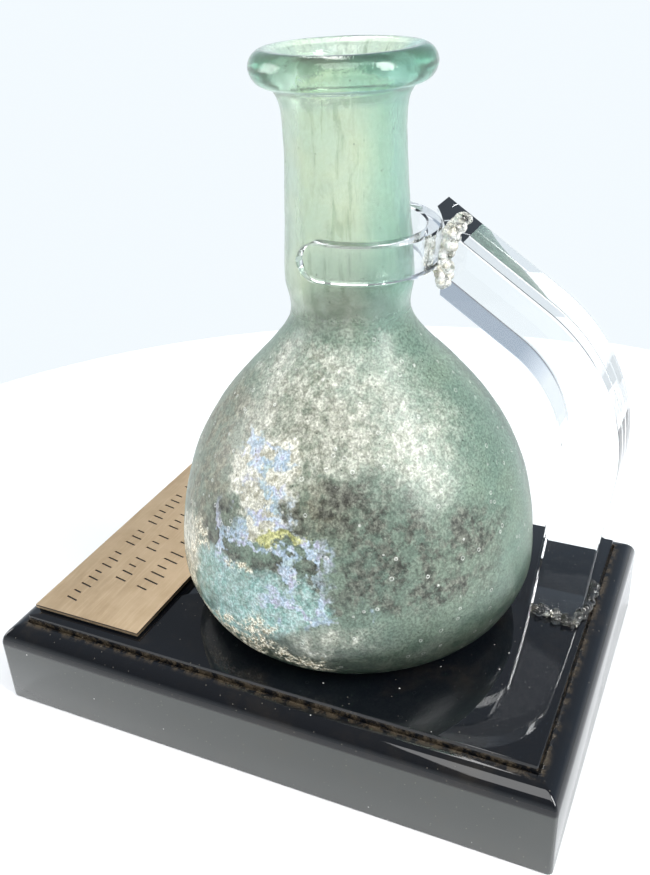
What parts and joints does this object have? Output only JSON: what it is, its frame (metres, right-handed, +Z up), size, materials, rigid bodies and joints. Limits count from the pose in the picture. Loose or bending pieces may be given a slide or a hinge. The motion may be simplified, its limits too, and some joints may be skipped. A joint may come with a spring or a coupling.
{
  "type": "roman glass bottle",
  "caption": "Weathered blue-green glass flask with a squat round body, cylindrical neck and rolled rim, held upright by a clear arm and yoke on a black display base with a plaque.",
  "frame": {"origin": "centre of the underside of the stand's base", "axes": "+Z up, -Y towards the plaque and its reader, +Y towards the clear arm, +X the reader's right"},
  "size_m": [0.0766, 0.112, 0.1221],
  "materials": {
    "weathered_glass": "semi-gloss translucent blue-green glass with matt cloudy patina",
    "black_gloss": "polished black plastic, lightly dusty",
    "clear_acrylic": "polished, clear",
    "satin_brass": "satin",
    "black_tape": "matt",
    "dried_glue": "glossy, clear to yellowish, lumpy"
  },
  "bodies": {
    "root": {"glass_flask": "weathered_glass", "stand_base": "black_gloss", "stand_arm": "clear_acrylic", "neck_yoke": "clear_acrylic", "plaque": "satin_brass", "plaque_tape": "black_tape", "foot_glue": "dried_glue", "yoke_glue": "dried_glue"}
  },
  "joints": []
}
